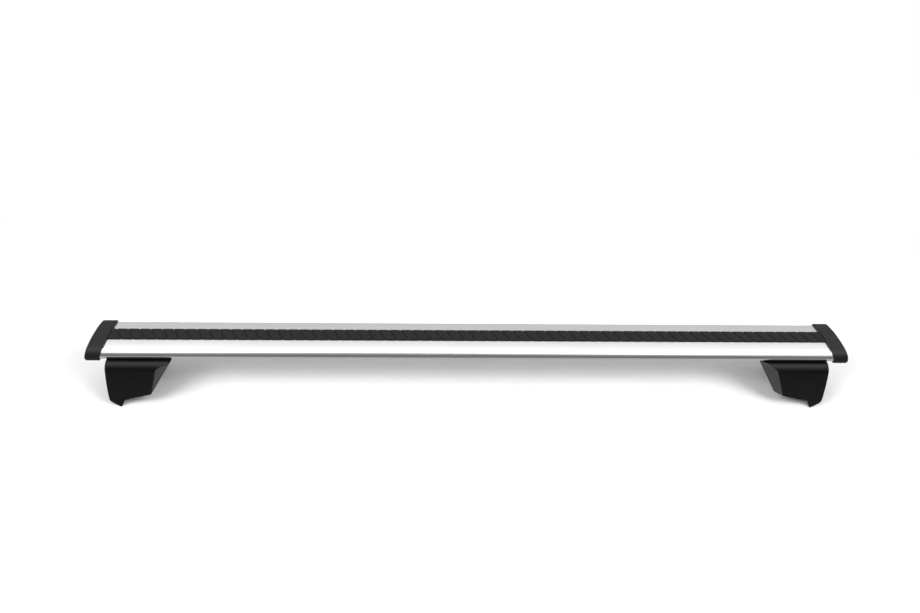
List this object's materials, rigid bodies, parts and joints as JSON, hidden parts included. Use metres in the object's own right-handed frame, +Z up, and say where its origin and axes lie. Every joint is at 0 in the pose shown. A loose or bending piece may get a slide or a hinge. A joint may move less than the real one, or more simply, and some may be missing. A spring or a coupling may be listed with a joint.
{
  "type": "roof rack crossbar",
  "caption": "Wing-shaped aluminium roof rack crossbar with a ribbed rubber strip, end caps and lockable clamping feet for roof rails.",
  "frame": {"origin": "centre of the bar's length and depth, on the surface that the feet stand on", "axes": "+X along the bar to the right, -Y the front (the longer side of the raked ends), +Z up"},
  "size_m": [1.1166, 0.1, 0.0978],
  "materials": {
    "satin_aluminium": "satin anodised",
    "strip_rubber": "matte, ribbed",
    "cap_plastic": "fine moulded grain",
    "foot_plastic": "fine moulded grain",
    "cover_plastic": "fine moulded grain",
    "pad_rubber": "matte",
    "zinc_steel": "zinc plated",
    "coated_steel": "black coated",
    "lock_chrome": "nickel plated"
  },
  "bodies": {
    "bar": {"crossbar": "satin_aluminium", "top_strip": "strip_rubber", "end_cap_left": "cap_plastic", "end_cap_right": "cap_plastic"},
    "foot_left": {"foot_body_left": "foot_plastic", "rail_pad_left": "pad_rubber", "slide_plate_left": "zinc_steel", "mount_screws_left": "zinc_steel", "mount_washers_left": "zinc_steel", "clamp_washer_left": "zinc_steel", "hinge_pin_left": "zinc_steel"},
    "cover_left": {"access_cover_left": "cover_plastic"},
    "lock_left": {"lock_barrel_left": "lock_chrome", "lock_cam_left": "zinc_steel", "cam_screw_left": "zinc_steel"},
    "clamp_left": {"clamp_screw_left": "zinc_steel"},
    "jaw_left": {"inner_jaw_left": "coated_steel", "jaw_grip_left": "pad_rubber", "jaw_nut_left": "zinc_steel"},
    "foot_right": {"foot_body_right": "foot_plastic", "rail_pad_right": "pad_rubber", "slide_plate_right": "zinc_steel", "mount_screws_right": "zinc_steel", "mount_washers_right": "zinc_steel", "clamp_washer_right": "zinc_steel", "hinge_pin_right": "zinc_steel"},
    "cover_right": {"access_cover_right": "cover_plastic"},
    "lock_right": {"lock_barrel_right": "lock_chrome", "lock_cam_right": "zinc_steel", "cam_screw_right": "zinc_steel"},
    "clamp_right": {"clamp_screw_right": "zinc_steel"},
    "jaw_right": {"inner_jaw_right": "coated_steel", "jaw_grip_right": "pad_rubber", "jaw_nut_right": "zinc_steel"}
  },
  "joints": [
    {"name": "foot_slide_left", "type": "slide", "parent": "bar", "child": "foot_left", "axis": [1, 0, 0], "range_m": [0, 0.15]},
    {"name": "cover_hinge_left", "type": "hinge", "parent": "foot_left", "child": "cover_left", "pos_m": [-0.52611, 0, 0.0195], "axis": [0, -1, 0], "range_deg": [0, 90]},
    {"name": "lock_turn_left", "type": "hinge", "parent": "cover_left", "child": "lock_left", "pos_m": [-0.52, 0, 0.048], "axis": [1, 0, 0], "range_deg": [0, 90]},
    {"name": "clamp_turn_left", "type": "hinge", "parent": "foot_left", "child": "clamp_left", "pos_m": [-0.49, 0, 0.044], "axis": [1, 0, 0], "range_deg": [0, 2305]},
    {"name": "jaw_slide_left", "type": "slide", "parent": "foot_left", "child": "jaw_left", "axis": [-1, 0, 0], "range_m": [0, 0.008]},
    {"name": "foot_slide_right", "type": "slide", "parent": "bar", "child": "foot_right", "axis": [-1, 0, 0], "range_m": [0, 0.15]},
    {"name": "cover_hinge_right", "type": "hinge", "parent": "foot_right", "child": "cover_right", "pos_m": [0.52611, 0, 0.0195], "axis": [0, 1, 0], "range_deg": [0, 90]},
    {"name": "lock_turn_right", "type": "hinge", "parent": "cover_right", "child": "lock_right", "pos_m": [0.52, 0, 0.048], "axis": [1, 0, 0], "range_deg": [0, 90]},
    {"name": "clamp_turn_right", "type": "hinge", "parent": "foot_right", "child": "clamp_right", "pos_m": [0.49, 0, 0.044], "axis": [-1, 0, 0], "range_deg": [0, 2305]},
    {"name": "jaw_slide_right", "type": "slide", "parent": "foot_right", "child": "jaw_right", "axis": [1, 0, 0], "range_m": [0, 0.008]}
  ],
  "couplings": [
    {"joint": "clamp_turn_left", "follows": "jaw_slide_left", "rad_per_m": 5026.5},
    {"joint": "clamp_turn_right", "follows": "jaw_slide_right", "rad_per_m": 5026.5}
  ]
}
